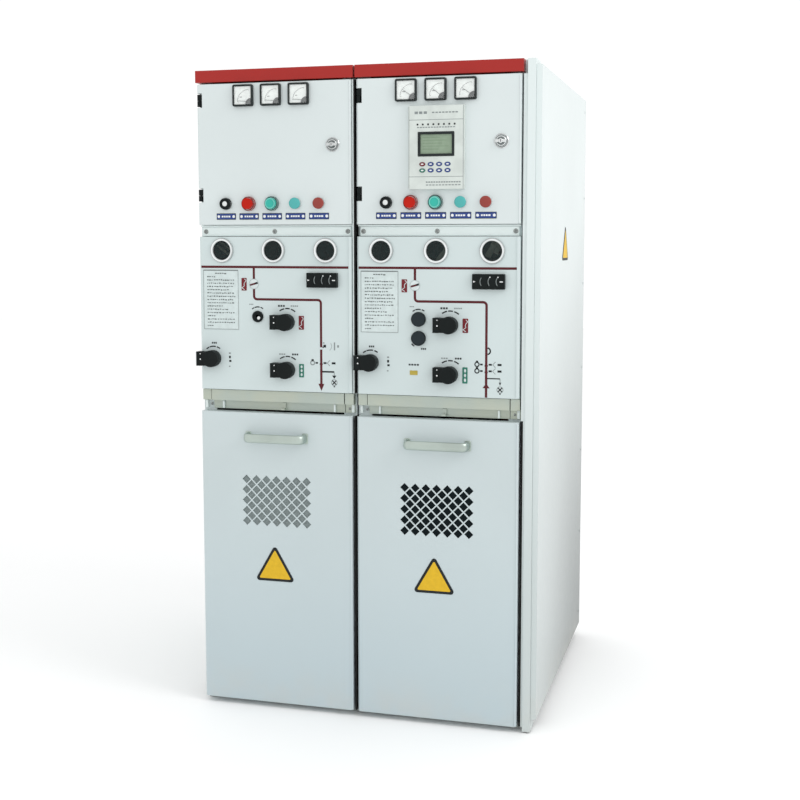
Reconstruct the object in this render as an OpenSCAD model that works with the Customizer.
// Solid insulated switchgear: a load switch cabinet and a breaker cabinet side by side.
// Millimetres. +X right, -Y towards the operator, +Z up. Origin: middle of the floor outline.

/* [Cabinets] */
// Distance between the centre lines of the two cabinets
cab_w = 425; // [400:1:450]
// Air gap between the two cabinet bodies
cab_gap = 5; // [3:0.5:8]
// Air gap between the fronts of the two cabinets
front_gap = 13; // [10:1:18]
// Depth of a cabinet body, from its front flanges to its rear panel
cab_d = 800; // [740:10:900]
// Thickness of the body sheet
sheet = 2; // [1.5:0.25:2.5]
// Width of the folded flanges at the front of the side walls
flange_w = 35; // [32:1:40]
// Bevel on the upright edges of doors, panels and covers
edge_w = 5; // [3:0.5:6]

/* [Front heights] */
// Air gap between the floor and a cover
cover_foot = 15; // [10:1:25]
// Height of a cable compartment cover
cover_h = 765; // [680:5:850]
// Height of the lower cross rail
lower_rail_h = 22; // [20:1:26]
// Height of the upper cross rail
upper_rail_h = 28; // [24:1:36]
// Height of the mechanism panel, without its top strip
panel_h = 393; // [370:1:440]
// Height of the strip on top of the mechanism panel
strip_h = 24; // [20:1:28]
// Height of an instrument door
door_h = 354; // [320:1:400]
// Height of the red header band
header_h = 30; // [26:1:40]
// Air gap above and below whatever opens
seam = 5; // [4:0.5:7]

/* [Front depths] */
// How far a cover stands in front of the body
cover_out = 32; // [28:1:38]
// How far a door stands in front of the body
door_out = 30; // [27:1:34]
// Air gap between a closed door and the body's flanges
door_gap = 6; // [5:0.5:10]
// How far a mechanism panel stands in front of the body
panel_out = 28; // [24:1:32]
// How far the strip above a mechanism panel stands in front of the body
strip_out = 14; // [12:1:18]
// How far the header band stands in front of the body
header_out = 28; // [24:1:32]
// How far the upper cross rail stands in front of the body
upper_rail_out = 20; // [16:1:22]
// How far the lower cross rail stands in front of the body
lower_rail_out = 4; // [3:0.5:6]
// Width of the blocks at the ends of the upper cross rail
rail_block_w = 23; // [20:1:26]
// Width of the blocks at the ends of the lower cross rail
lower_block_w = 25; // [22:1:30]

/* [Base and inner plates] */
// Height of the base frame
base_h = 60; // [50:1:80]
// Thickness of the base frame's angle steel
base_t = 4; // [3:0.5:6]
// Width of the base frame's foot
foot_w = 45; // [40:1:60]
// Radius of the anchor holes
anchor_r = 7; // [5:0.5:9]
// Width of the cable slot in a floor plate
slot_w = 200; // [120:5:260]
// Length of the cable slot in a floor plate, front to back
slot_d = 140; // [100:5:200]
// Depth of the instrument compartment
tray_d = 300; // [260:5:360]

/* [End panel] */
// Air gap between the floor and the end post
end_post_foot = 4; // [0:1:20]
// Width of the groove between the body and the end post
end_groove_w = 10; // [8:0.5:14]
// Width of the end post's front
end_post_w = 20; // [14:1:26]
// Depth of the end post behind its front
end_post_d = 60; // [45:5:90]
// Air gap between the floor and the side cover
side_cover_foot = 36; // [20:2:60]
// Thickness of the side cover outside the post
side_cover_t = 14.5; // [12:0.5:20]
// Side cover's top edge below the cabinet's top
side_cover_down = 14; // [4:1:20]

/* [Doors] */
// Radius of the hinge knuckles
knuckle_r = 6; // [5:0.5:7]
// Radius of the hinge pins
hinge_pin_r = 2.5; // [2:0.25:3]
// Height of one hinge
hinge_h = 30; // [26:1:36]
// Centre of the lower hinge above the door's bottom edge
lower_hinge_up = 75; // [60:1:90]
// Centre of the upper hinge below the door's top edge
upper_hinge_down = 40; // [30:1:60]
// Running clearance round pins and shafts
run = 0.05; // [0.02:0.01:0.1]
// Lock, from the door's free edge
lock_in = 48; // [42:1:60]
// Lock, above the door's bottom edge
lock_up = 197; // [150:1:240]
// Radius of the lock's rosette
lock_r = 15; // [12:0.5:17]
// Reach of the lock's cam
cam_reach = 42; // [36:1:46]

/* [Door instruments] */
// Side of a square meter
meter_w = 54; // [46:1:60]
// Distance between meters
meter_step = 74; // [66:1:82]
// Middle meter, from the cabinet's centre line
meter_x = -3.5; // [-12:0.5:0]
// Meters, below the door's top edge
meter_down = 31; // [30:1:40]
// Distance between lamps and buttons
lamp_step = 62.5; // [56:0.5:68]
// Middle button, from the cabinet's centre line
lamp_x = -3.5; // [-12:0.5:0]
// Lamps and buttons, above the door's bottom edge
lamp_up = 53; // [40:1:60]
// Radius of a lamp's rim
lamp_r = 15; // [12.5:0.5:16]
// Radius of a push button's collar
collar_r = 18; // [17:0.5:20]
// Radius of a push button's head
button_r = 14; // [12:0.5:15.5]
// Travel of a push button
button_travel = 4; // [3:0.5:5]
// Width of the protection relay
relay_w = 138; // [120:1:150]
// Space between the push buttons and the relay
relay_low_gap = 13; // [8:1:20]
// Space between the relay and the meters
relay_top_gap = 12; // [8:1:20]

/* [Mechanism panels] */
// Radius of a sight window's clear opening
window_r = 25; // [22:0.5:27.5]
// Width of a sight window's ring
ring_w = 6; // [5:0.5:7]
// Outer sight windows, from the panel's edges
window_in = 66; // [60:1:72]
// How far the row of sight windows is moved to the right
window_x = -3; // [-8:1:3]
// Sight windows, below the panel's top edge
window_down = 35; // [34:1:45]
// Radius of an operating knob
knob_r = 21; // [18:0.5:24]
// Height of the padlock block beside a knob
block_h = 36; // [30:1:40]
// Reach of the padlock block from the knob's centre
block_reach = 39; // [34:1:40]
// How far knob and block stand in front of the panel
knob_out = 26; // [18:1:30]
// Radius of a knob's shaft
shaft_r = 8; // [6:0.5:10]
// Middle knobs, from the cabinet's centre line
knob_x = 33; // [28:1:38]
// Side knob, from the panel's left edge
side_knob_in = 36; // [35:1:44]
// Upper knob, above the panel's bottom edge
upper_knob_up = 177; // [170:1:190]
// Side knob, above the panel's bottom edge
side_knob_up = 80; // [70:1:90]
// Lower knob, above the panel's bottom edge
lower_knob_up = 55; // [50:1:62]
// Width of the voltage indicator
indicator_w = 79; // [70:1:87]
// Height of the voltage indicator
indicator_h = 36; // [30:1:40]
// Voltage indicator, from the cabinet's centre line
indicator_x = 130; // [122:1:138]
// Voltage indicator, below the sight windows
indicator_down = 74; // [66:1:82]
// Operating sockets, from the cabinet's centre line
socket_x = -46; // [-54:1:-42]
// Upper socket, above the panel's bottom edge
socket_up = 190; // [180:1:200]
// Distance between the breaker cabinet's two sockets
socket_step = 47; // [42:1:52]

/* [Covers] */
// Width of a cover's bar handle
handle_w = 166; // [140:2:200]
// Height of the handle's bar
handle_h = 23; // [16:1:28]
// Thickness of the handle's bar
handle_t = 8; // [6:1:10]
// Outer radius of the handle's bends
handle_bend_r = 16; // [12:1:20]
// How far the handle's bar stands in front of the cover
handle_out = 36; // [32:1:45]
// Handle, from the cabinet's centre line
handle_x = 3; // [-5:1:10]
// Handle, below the cover's top edge
handle_down = 62; // [45:1:90]
// Corner to corner size of a diamond vent
vent_size = 23; // [18:0.5:23.5]
// Distance between diamond vents
vent_step = 27.5; // [27:0.5:31]
// Vents, from the cabinet's centre line
vent_x = 1; // [-5:1:10]
// Middle of the vents, below the cover's top edge
vent_down = 229; // [200:1:260]
// Radius of the pins that locate a cover
cover_pin_r = 4; // [3:0.25:5]

/* [Inside] */
// Space between the insulated pole blocks
pole_gap = 20; // [16:1:30]
// Depth of an insulated pole block
pole_d = 380; // [300:5:420]
// Distance from the body's front to the pole blocks
pole_back = 70; // [63:1:90]
// Largest radius of a cable bushing
bushing_r = 40; // [30:1:45]
// Length of a cable bushing below the compartment's ceiling
bushing_l = 190; // [150:5:220]

/* [Hidden] */
$fn = 48;

body_paint = [0.82, 0.86, 0.87];
door_paint = [0.86, 0.90, 0.89];
panel_paint = [0.80, 0.84, 0.84];
cover_paint = [0.77, 0.82, 0.83];
zinc = [0.72, 0.75, 0.70];
black_plastic = [0.10, 0.12, 0.13];
resin = [0.45, 0.20, 0.14];
red_plastic = [0.80, 0.12, 0.12];
green_plastic = [0.27, 0.76, 0.66];

// Cabinets in plan. The pair with its end panel is centred on X, handles to backs on Y.
body_w = cab_w - cab_gap;
front_w = cab_w - front_gap;
in_w = body_w - 2 * sheet;
total_w = cab_w + body_w + end_groove_w + end_post_w + side_cover_t;
front_y = (cover_out + handle_out - cab_d) / 2;
back_y = front_y + cab_d;
left_x = (body_w - total_w) / 2;
right_x = left_x + cab_w;
end_x = right_x + body_w / 2;

// Heights of what stands one above the other at the front.
rail_gap = 1;
panel_gap = 2;
cover_top = cover_foot + cover_h;
lower_rail_z = cover_top + seam;
upper_rail_z = lower_rail_z + lower_rail_h + rail_gap;
panel_z = upper_rail_z + upper_rail_h + panel_gap;
panel_top = panel_z + panel_h;
strip_z = panel_top + rail_gap;
door_z = strip_z + strip_h + seam;
door_top = door_z + door_h;
header_z = door_top + seam;
cab_h = header_z + header_h;

door_y = front_y - door_out;
panel_y = front_y - panel_out;
cover_y = front_y - cover_out;
door_deep = door_out - door_gap;
seat = 0.3;

// Plates inside.
plate_t = 3;
ceiling_z = panel_z - 2 * plate_t;
shelf_z = door_z - seam;
anchor_in = foot_w / 2 + base_t / 2;
spacer_in = 100;
spacer_w = 40;
earth_up = 92;
earth_in = 100;
earth_t = 6;
earth_h = 30;
clamp_rail_w = 40;
rail_slit = 2;
block_back = 2;
catch_x = 15;
catch_w = 10;
catch_t = 4;
catch_lip = 5;
catch_out = 14;
catch_in = 2;

// End panel.
post_y = door_y + 2;
groove_y = front_y - 4;
side_cover_y = door_y + 5;

// Doors: hinges and lock.
hinge_x = knuckle_r - front_w / 2;
hinge_y = door_y + knuckle_r;
hinge_zs = [door_z + lower_hinge_up, door_top - upper_hinge_down];
hinge_arm_w = 6;
hinge_foot_w = 20;
hinge_foot_t = 2;
hinge_leaf_in = 1;
hinge_leaf_w = 30;
hinge_leaf_t = 3;
post_h = hinge_h / 2 - 1;
notch_w = 2 * knuckle_r + 3;
notch_h = hinge_h + 6;
notch_gap = 0.5;
lock_x = front_w / 2 - lock_in;
lock_z = door_z + lock_up;
lock_t = 4;
lock_slot_w = 4;
lock_shaft_r = 9;
cam_w = 16;
cam_t = 3;
cam_clear = 6;

// Door instruments. Depths are measured from the door's face.
meter_z = door_top - meter_down;
meter_out = 9;
meter_sink = 4;
meter_rim = 4.5;
meter_body_r = 23;
meter_body_l = 50;
lamp_z = door_z + lamp_up;
lamp_rim_t = 4;
lens_inset = 1;
lens_out = 9;
barrel_r = 11;
barrel_l = 45;
stem_r = 8;
stem_l = 30;
stem_bore_l = 40;
collar_t = 8;
collar_floor = 2;
head_proud = 3;
head_gap = 0.5;
cut_gap = 0.5;
relay_low = lamp_z + collar_r + relay_low_gap;
relay_h = meter_z - meter_w / 2 - relay_top_gap - relay_low;
relay_z = relay_low + relay_h / 2;
relay_out = 12;
relay_case_l = 92;
relay_case_in = 9;
display_w = 90;
display_h = 58;
display_up = 8;
display_sink = 3;

// Mechanism panels. Depths are measured from the panel's face.
window_step = front_w / 2 - window_in;
window_xs = [for (i = [-1:1]) window_x + i * window_step];
window_z = panel_top - window_down;
ring_t = 4;
ring_r = window_r + ring_w;
glass_r = window_r + 2;
glass_t = 3;
spigot_r = glass_r + 1.6;
spigot_l = 10;
spigot_gap = 0.1;
socket_z = panel_z + socket_up;
socket_r = 14.5;
socket_t = 4;
cap_r = 18;
cap_t = 8;
bush_r = 9.9;
bush_l = 20;
bush_hole_r = 10;
drive_w = 9;
drive_l = 15;
indicator_z = window_z - indicator_down;
indicator_t = 12;
indicator_case_l = 40;
indicator_case_in = 5;
indicator_slot_w = 6;
indicator_slot_l = 3;
side_knob_x = side_knob_in - front_w / 2;
knob_l = 22;
padlock_r = 2.5;
padlock_in = 9;

// Covers.
pin_l = 20;
pin_in = 10;
pin_x = front_w / 2 - sheet - pin_in;
pin_low_up = 80;
pin_top_down = 60;
pin_zs = [cover_foot + pin_low_up, cover_top - pin_top_down];
tab_w = 18;
tab_in = 14;
handle_z = cover_top - handle_down;
vent_z = cover_top - vent_down;
vent_rows = 9;
vent_cols = 7;

// Pole blocks and their cable bushings share the body's inner width.
pole_step = in_w / 3;
pole_w = pole_step - pole_gap;
pole_xs = [-pole_step, 0, pole_step];
sight_l = 70;
bushing_in = 150;
bushing_y = front_y + pole_back + bushing_in;
bushing_gap = 0.5;

// A box given by its low and high corners.
module box(low, high) {
    translate(low) cube(high - low);
}

// Places children at the centre line of each cabinet.
module both() {
    for (x = [left_x, right_x]) translate([x, 0, 0]) children();
}

module at_left() translate([left_x, 0, 0]) children();
module at_right() translate([right_x, 0, 0]) children();

// Turns a shape drawn round Z so that its +Z points at the operator, from a face at y.
module face_at(x, y, z) {
    translate([x, y, z]) rotate([90, 0, 0]) children();
}

// A round rod that starts below a face and ends in front of it.
module rod(r, from, to) {
    translate([0, 0, from]) cylinder(r = r, h = to - from);
}

// A plate on a face, centred on it, from one height to another.
module plate(w, h, from, to) {
    translate([-w / 2, -h / 2, from]) cube([w, h, to - from]);
}

// A hole through sheet, to cut where a rod passes.
module hole(r) {
    rod(r, -sheet - 1, 1);
}

// A sheet pan open at the back: low corner, width, depth and height.
module pan(x, y, z, w, d, h) {
    difference() {
        translate([x, y, z]) cube([w, d, h]);
        translate([x + sheet, y + sheet, z + sheet]) cube([w - 2 * sheet, d, h - 2 * sheet]);
    }
}

// Outline in plan of a front with bevelled upright edges.
module bevelled(x, y, w, d, c) {
    polygon([[x, y + c], [x + c, y], [x + w - c, y], [x + w, y + c], [x + w, y + d], [x, y + d]]);
}

// A sheet pan like the above, with bevelled upright edges.
module bevelled_pan(x, y, z, w, d, h) {
    difference() {
        translate([0, 0, z]) linear_extrude(h) bevelled(x, y, w, d, edge_w);
        translate([0, 0, z + sheet]) linear_extrude(h - 2 * sheet)
            bevelled(x + sheet, y + sheet, w - 2 * sheet, d, edge_w - sheet / 2);
    }
}

// A ring of flat steel, as wide as the body and so far in from its outline.
module base_ring(width, h) {
    half = body_w / 2;
    difference() {
        box([-half, front_y, 0], [half, back_y, h]);
        box([width - half, front_y + width, -1], [half - width, back_y - width, h + 1]);
    }
}

// An angle steel frame under each cabinet, joined by two spacers in the gap between them.
module base_frames() color([0.62, 0.66, 0.66]) {
    both() {
        difference() {
            base_ring(foot_w, base_t);
            for (x = [-1, 1], y = [front_y + anchor_in, back_y - anchor_in])
                translate([x * (body_w / 2 - anchor_in), y, -1]) cylinder(r = anchor_r, h = base_t + 2);
        }
        base_ring(base_t, base_h);
    }
    for (y = [front_y + spacer_in, back_y - spacer_in])
        box([left_x + body_w / 2, y - spacer_w / 2, 0], [right_x - body_w / 2, y + spacer_w / 2, base_h]);
}

module floor_plates() color(zinc) both() difference() {
    box([-in_w / 2, front_y + sheet, base_h], [in_w / 2, back_y - 2 * sheet, base_h + plate_t]);
    translate([0, 0, base_h]) cube([slot_w, slot_d, 4 * plate_t], center = true);
}

// One side wall in plan: a sheet with a flange folded inwards at each end.
module side_wall(side) {
    x0 = side * body_w / 2;
    x1 = x0 - side * sheet;
    x2 = x0 - side * flange_w;
    y1 = front_y + sheet;
    y2 = back_y - 2 * sheet;
    y3 = back_y - sheet;
    translate([0, 0, base_h]) linear_extrude(cab_h - sheet - base_h)
        polygon([[x0, front_y], [x0, y3], [x2, y3], [x2, y2], [x1, y2], [x1, y1], [x2, y1],
            [x2, front_y]]);
}

module side_walls() color(cover_paint) both() {
    side_wall(-1);
    side_wall(1);
}

module rear_panels() color(cover_paint) both()
    box([-body_w / 2, back_y - sheet, base_h], [body_w / 2, back_y, cab_h - sheet]);

module roof_panels() color(cover_paint) both()
    box([-body_w / 2, front_y, cab_h - sheet], [body_w / 2, back_y, cab_h]);

// Folded post in plan: web on the wall, floor of the groove, front strip and its return.
module end_post() {
    x1 = end_x + end_groove_w;
    x2 = x1 + end_post_w;
    y2 = post_y + end_post_d;
    translate([0, 0, end_post_foot]) linear_extrude(cab_h - end_post_foot)
        polygon([[x1, post_y], [x2, post_y], [x2, y2], [x2 - sheet, y2],
            [x2 - sheet, post_y + sheet], [x1 + sheet, post_y + sheet],
            [x1 + sheet, groove_y + sheet], [end_x + sheet, groove_y + sheet],
            [end_x + sheet, y2], [end_x, y2], [end_x, groove_y], [x1, groove_y]]);
}

// Flat pan beside the post, folded back to the wall at the rear.
module side_cover() {
    post_side = end_x + end_groove_w + end_post_w;
    x0 = post_side + seat;
    x1 = post_side + side_cover_t;
    z1 = cab_h - side_cover_down;
    difference() {
        box([x0, side_cover_y, side_cover_foot], [x1, back_y, z1]);
        box([x0 - 1, side_cover_y + sheet, side_cover_foot + sheet],
            [x1 - sheet, back_y - sheet, z1 - sheet]);
    }
    box([end_x, back_y - sheet, side_cover_foot], [x0, back_y, z1]);
}

module end_panel() color(body_paint) {
    end_post();
    side_cover();
}

module headers() color([0.77, 0.20, 0.18]) both()
    pan(-body_w / 2, front_y - header_out, header_z, body_w, header_out, header_h);

// Floor and back of an instrument compartment, folded from one sheet.
module instrument_trays() color(zinc) both() {
    y0 = front_y + sheet;
    y1 = y0 + tray_d;
    box([-in_w / 2, y0, shelf_z - sheet], [in_w / 2, y1, shelf_z]);
    box([-in_w / 2, y1 - sheet, shelf_z], [in_w / 2, y1, cab_h - sheet]);
}

// Places of the three knobs on a panel: upper, side and lower.
knob_places = [[knob_x, panel_z + upper_knob_up], [side_knob_x, panel_z + side_knob_up],
    [knob_x, panel_z + lower_knob_up]];

// Panel pan with its window, knob, socket and indicator holes, and the strip above it.
module mechanism_panel(socket_zs) color(panel_paint) {
    difference() {
        bevelled_pan(-front_w / 2, panel_y, panel_z, front_w, panel_out, panel_h);
        for (x = window_xs) face_at(x, panel_y, window_z) hole(spigot_r + spigot_gap);
        for (p = knob_places) face_at(p[0], panel_y, p[1]) hole(shaft_r + run);
        for (z = socket_zs) face_at(socket_x, panel_y, z) hole(bush_hole_r);
        face_at(indicator_x, panel_y, indicator_z)
            plate(indicator_w - 2 * indicator_case_in + 2 * cut_gap,
                indicator_h - 2 * indicator_case_in + 2 * cut_gap, -sheet - 1, 1);
    }
    bevelled_pan(-front_w / 2, front_y - strip_out, strip_z, front_w, strip_out, strip_h);
}

module left_mechanism_panel() at_left() mechanism_panel([socket_z]);
module right_mechanism_panel() at_right() mechanism_panel([socket_z, socket_z - socket_step]);

module window_rings() color([0.82, 0.85, 0.85]) both() for (x = window_xs)
    face_at(x, panel_y, window_z) difference() {
        union() {
            rod(ring_r, 0, ring_t);
            rod(spigot_r, -spigot_l, 0);
        }
        rod(window_r, -1, ring_t + 1);
        rod(glass_r + run, -spigot_l - 1, 0);
    }

module window_glasses() color([0.12, 0.17, 0.18, 0.6]) both() for (x = window_xs)
    face_at(x, panel_y, window_z) rod(glass_r, -glass_t, 0);

// Moulded pole: a block with a sight hole in front, so far off its middle, and a bushing below.
module pole_block(sight_x) {
    y0 = front_y + pole_back;
    z0 = ceiling_z + plate_t;
    difference() {
        box([-pole_w / 2, y0, z0], [pole_w / 2, y0 + pole_d, shelf_z - sheet]);
        face_at(sight_x, y0, window_z) rod(glass_r, -sight_l, 1);
    }
    translate([0, bushing_y, z0]) mirror([0, 0, 1]) {
        cylinder(r = bushing_r, h = bushing_l * 0.4);
        translate([0, 0, bushing_l * 0.4])
            cylinder(r1 = bushing_r, r2 = bushing_r * 0.65, h = bushing_l * 0.6);
    }
}

module pole_blocks() color(resin) both() for (i = [0:2])
    translate([pole_xs[i], 0, 0]) pole_block(window_xs[i] - pole_xs[i]);

module cable_ceilings() color(zinc) both() difference() {
    box([-in_w / 2, front_y + sheet, ceiling_z],
        [in_w / 2, back_y - 2 * sheet, ceiling_z + plate_t]);
    for (x = pole_xs) translate([x, bushing_y, ceiling_z - 1])
        cylinder(r = bushing_r + bushing_gap, h = plate_t + 2);
}

// Copper earth bar and the cable clamp rail behind it, both from wall to wall.
module earth_bars() color([0.72, 0.45, 0.25]) both() {
    z = base_h + earth_up;
    y = front_y + earth_in;
    box([-in_w / 2, y, z], [in_w / 2, y + earth_t, z + earth_h]);
    box([-in_w / 2, bushing_y - clamp_rail_w / 2, z],
        [in_w / 2, bushing_y + clamp_rail_w / 2, z + clamp_rail_w]);
}

// Catch on the lower rail: an upright with a lip at its foot.
module interlock_catch() translate([catch_x - catch_w / 2, front_y - lower_rail_out, lower_rail_z]) {
    box([0, -catch_t, catch_in], [catch_w, 0, lower_rail_h - catch_in]);
    box([0, -catch_out, catch_in], [catch_w, -catch_t, catch_in + catch_lip]);
}

// Two galvanised rails between panel and cover, each with loose end blocks.
module cross_rails() color(zinc) both() {
    half = front_w / 2;
    x0 = half - rail_block_w - rail_slit;
    y0 = front_y - upper_rail_out;
    z1 = upper_rail_z + upper_rail_h;
    box([-half, y0 + block_back, upper_rail_z], [rail_block_w - half, front_y, z1]);
    box([-x0, y0, upper_rail_z], [x0, front_y, z1]);
    box([half - rail_block_w, y0 + block_back, upper_rail_z], [half, front_y, z1]);
    for (span = [[-x0, lower_block_w - x0], [lower_block_w + rail_slit - x0,
        half - lower_block_w - rail_slit], [half - lower_block_w, half]])
        box([span[0], front_y - lower_rail_out, lower_rail_z],
            [span[1], front_y, lower_rail_z + lower_rail_h]);
    interlock_catch();
}

// Voltage indicator: front plate with three lamp slots, and its case behind the panel.
module voltage_indicators() color(black_plastic) both() face_at(indicator_x, panel_y, indicator_z)
    difference() {
        union() {
            plate(indicator_w, indicator_h, 0, indicator_t);
            plate(indicator_w - 2 * indicator_case_in, indicator_h - 2 * indicator_case_in,
                -indicator_case_l, 0);
        }
        for (i = [-1:1]) translate([i * indicator_w / 4, 0, 0])
            plate(indicator_slot_w, indicator_h * 0.6, indicator_t - indicator_slot_l, indicator_t + 1);
    }

// Round front in the panel with its plug behind it.
module socket_body(r, out) {
    rod(r, 0, out);
    rod(bush_r, -bush_l, 0);
}

// Socket with a square hole for the operating handle, and the breaker cabinet's two closed caps.
module operating_sockets() color(black_plastic) {
    face_at(left_x + socket_x, panel_y, socket_z) difference() {
        socket_body(socket_r, socket_t);
        plate(drive_w, drive_w, -drive_l, socket_t + 1);
    }
    for (z = [socket_z, socket_z - socket_step])
        face_at(right_x + socket_x, panel_y, z) socket_body(cap_r, cap_t);
}

// Fixed half of a hinge: foot on the flange, arm, knuckle and pin.
module hinge_posts() color(black_plastic) both() for (z = hinge_zs) {
    arm = front_y - hinge_y;
    translate([hinge_x, hinge_y, z - hinge_h / 2]) {
        cylinder(r = knuckle_r, h = post_h);
        cylinder(r = hinge_pin_r, h = hinge_h);
        box([-hinge_arm_w / 2, 0, 0], [hinge_arm_w / 2, arm, post_h]);
        box([-hinge_arm_w / 2, arm - hinge_foot_t, 0], [hinge_foot_w, arm, post_h]);
    }
}

module cover_pins() color(zinc) both() for (side = [-1, 1], z = pin_zs)
    face_at(side * pin_x, front_y, z) rod(cover_pin_r, 0, pin_l);

// Door pan with hinge notches and a hole for each instrument.
module door() color(door_paint) difference() {
    x0 = -front_w / 2;
    bevelled_pan(x0, door_y, door_z, front_w, door_deep, door_h);
    for (z = hinge_zs) {
        z0 = z - notch_h / 2;
        z1 = z + notch_h / 2;
        box([x0 - 1, door_y - 1, z0], [x0 + notch_w, door_y + sheet + notch_gap, z1]);
        box([x0 - 1, door_y - 1, z0], [x0 + sheet + edge_w, door_y + door_deep + 1, z1]);
    }
    for (i = [-1:1]) face_at(meter_x + i * meter_step, door_y, meter_z) hole(meter_body_r + cut_gap);
    for (i = [-2:2]) face_at(lamp_x + i * lamp_step, door_y, lamp_z) hole(barrel_r + cut_gap);
    face_at(lock_x, door_y, lock_z) hole(lock_shaft_r + run);
}

module left_door() at_left() door();
module right_door() at_right() difference() {
    door();
    face_at(0, door_y, relay_z) plate(relay_w - 2 * relay_case_in + 2 * cut_gap,
        relay_h - 2 * relay_case_in + 2 * cut_gap, -sheet - 1, 1);
}

// Moving half of a hinge: knuckle round the pin and a leaf behind the door's sheet.
module door_hinges() color(black_plastic) for (z = hinge_zs)
    translate([hinge_x, hinge_y, z]) difference() {
        union() {
            cylinder(r = knuckle_r, h = hinge_h / 2);
            box([hinge_leaf_in, sheet - knuckle_r, 0],
                [hinge_leaf_w, sheet + hinge_leaf_t - knuckle_r, hinge_h / 2]);
        }
        translate([0, 0, -1]) cylinder(r = hinge_pin_r + run, h = hinge_h);
    }

module left_door_hinges() at_left() door_hinges();
module right_door_hinges() at_right() door_hinges();

// Square panel meters: bezel round a sunk face, and the case behind the door.
module meters() color(black_plastic) for (i = [-1:1])
    face_at(meter_x + i * meter_step, door_y, meter_z) difference() {
        face_w = meter_w - 2 * meter_rim;
        union() {
            plate(meter_w, meter_w, 0, meter_out);
            rod(meter_body_r, -meter_body_l, 0);
        }
        plate(face_w, face_w, meter_out - meter_sink, meter_out + 1);
    }

module left_meters() at_left() meters();
module right_meters() at_right() meters();

// Signal lamp: rim, lens and barrel through the door.
module lamp() {
    rod(lamp_r, 0, lamp_rim_t);
    rod(lamp_r - lens_inset, lamp_rim_t, lens_out);
    rod(barrel_r, -barrel_l, 0);
}

// Collar of a push button, bored for the head and the stem.
module collar() difference() {
    union() {
        rod(collar_r, 0, collar_t);
        rod(barrel_r, -barrel_l, 0);
    }
    rod(button_r + run, collar_floor, collar_t + 1);
    rod(stem_r + run, -stem_bore_l, collar_floor + 1);
}

module lamps() color([0.75, 0.77, 0.76]) {
    for (i = [-2, 1, 2]) face_at(lamp_x + i * lamp_step, door_y, lamp_z) lamp();
    for (i = [-1, 0]) face_at(lamp_x + i * lamp_step, door_y, lamp_z) collar();
}

module left_lamps() at_left() lamps();
module right_lamps() at_right() lamps();

// Protection relay: front plate with a sunk display, and its case behind the door.
module right_relay() color([0.85, 0.87, 0.85]) face_at(right_x, door_y, relay_z) difference() {
    union() {
        plate(relay_w, relay_h, 0, relay_out);
        plate(relay_w - 2 * relay_case_in, relay_h - 2 * relay_case_in, -relay_case_l, 0);
    }
    translate([0, display_up, 0])
        plate(display_w, display_h, relay_out - display_sink, relay_out + 1);
}

// Quarter-turn lock: rosette in front, shaft through the door, cam behind the flange.
module lock() color([0.78, 0.79, 0.79]) face_at(lock_x, door_y, lock_z) {
    cam_top = -door_out - sheet - cam_clear;
    rod(lock_shaft_r, cam_top - cam_t, seat);
    difference() {
        rod(lock_r, seat, lock_t);
        plate(lock_slot_w, lock_r, lock_t / 2, lock_t + 1);
    }
    translate([0, -cam_reach / 2, 0]) plate(cam_w, cam_reach, cam_top - cam_t, cam_top);
}

module left_lock() at_left() lock();
module right_lock() at_right() lock();

// Head and stem of push button i, in its collar.
module push_button(i) face_at(lamp_x + i * lamp_step, door_y, lamp_z) {
    low = collar_floor + button_travel + head_gap;
    rod(button_r, low, collar_t + button_travel + head_proud);
    rod(stem_r, -stem_l, low);
}

module left_red_button() color(red_plastic) at_left() push_button(-1);
module left_green_button() color(green_plastic) at_left() push_button(0);
module right_red_button() color(red_plastic) at_right() push_button(-1);
module right_green_button() color(green_plastic) at_right() push_button(0);

// Operating knob with its padlock block, on a shaft through the panel.
module knob(place) color(black_plastic) face_at(place[0], panel_y, place[1]) difference() {
    union() {
        rod(knob_r, seat, knob_out);
        box([-block_reach, -block_h / 2, seat], [0, block_h / 2, knob_out - 2]);
        rod(shaft_r, -knob_l, seat);
    }
    for (y = [-0.2, 0.2]) translate([padlock_in - block_reach, y * block_h, 0])
        rod(padlock_r, -1, knob_out);
}

module left_upper_knob() at_left() knob(knob_places[0]);
module left_side_knob() at_left() knob(knob_places[1]);
module left_lower_knob() at_left() knob(knob_places[2]);
module right_upper_knob() at_right() knob(knob_places[0]);
module right_side_knob() at_right() knob(knob_places[1]);
module right_lower_knob() at_right() knob(knob_places[2]);

// Diamond vents: full rows, with rows of one fewer between them.
module vents() for (row = [0:vent_rows - 1]) {
    cols = vent_cols - row % 2;
    z = vent_z + (row - (vent_rows - 1) / 2) * vent_step / 2;
    for (col = [0:cols - 1])
        face_at(vent_x + (col - (cols - 1) / 2) * vent_step, cover_y, z)
            rod(vent_size / 2, -sheet - 1, 1, $fn = 4);
}

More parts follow.
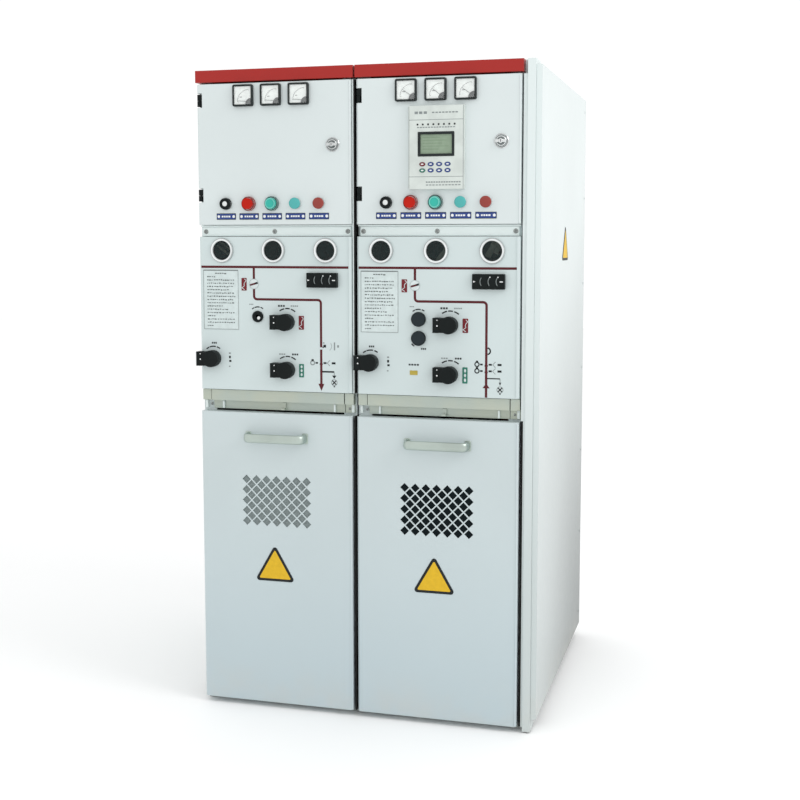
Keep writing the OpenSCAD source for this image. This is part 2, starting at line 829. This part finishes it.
// Cable compartment cover: pan with vents and a bored tab at each locating pin.
module cover() color(cover_paint) {
    depth = cover_out - seat;
    tab_y = front_y - seat - tab_in;
    difference() {
        bevelled_pan(-front_w / 2, cover_y, cover_foot, front_w, depth, cover_h);
        vents();
    }
    for (side = [-1, 1], z = pin_zs) difference() {
        x_in = side * (front_w / 2 - sheet);
        x_out = x_in - side * tab_w;
        box([min(x_in, x_out), tab_y, z - tab_w / 2],
            [max(x_in, x_out), tab_y + sheet, z + tab_w / 2]);
        face_at(side * pin_x, tab_y, z) hole(cover_pin_r + run);
    }
}

module left_cover() at_left() cover();
module right_cover() at_right() cover();

// Outline in plan of a bow on the X axis, with two rounded corners.
module bow(w, d, r) {
    translate([-w / 2, 0]) square([w, d - r]);
    translate([r - w / 2, 0]) square([w - 2 * r, d]);
    for (side = [-1, 1]) translate([side * (w / 2 - r), d - r]) circle(r);
}

// Flat bar bent back to the cover at both ends.
module cover_handle() color([0.78, 0.81, 0.78])
    translate([handle_x, cover_y, handle_z - handle_h / 2]) mirror([0, 1, 0])
        linear_extrude(handle_h) difference() {
            bow(handle_w, handle_out, handle_bend_r);
            translate([0, -1])
                bow(handle_w - 2 * handle_t, handle_out - handle_t + 1, handle_bend_r - handle_t);
        }

module left_cover_handle() at_left() cover_handle();
module right_cover_handle() at_right() cover_handle();

base_frames();
floor_plates();
side_walls();
rear_panels();
roof_panels();
end_panel();
headers();
instrument_trays();
left_mechanism_panel();
right_mechanism_panel();
window_rings();
window_glasses();
pole_blocks();
cable_ceilings();
earth_bars();
cross_rails();
voltage_indicators();
operating_sockets();
hinge_posts();
cover_pins();
left_door();
left_door_hinges();
left_meters();
left_lamps();
right_door();
right_door_hinges();
right_meters();
right_lamps();
right_relay();
left_lock();
right_lock();
left_red_button();
left_green_button();
right_red_button();
right_green_button();
left_upper_knob();
left_side_knob();
left_lower_knob();
right_upper_knob();
right_side_knob();
right_lower_knob();
left_cover();
right_cover();
left_cover_handle();
right_cover_handle();
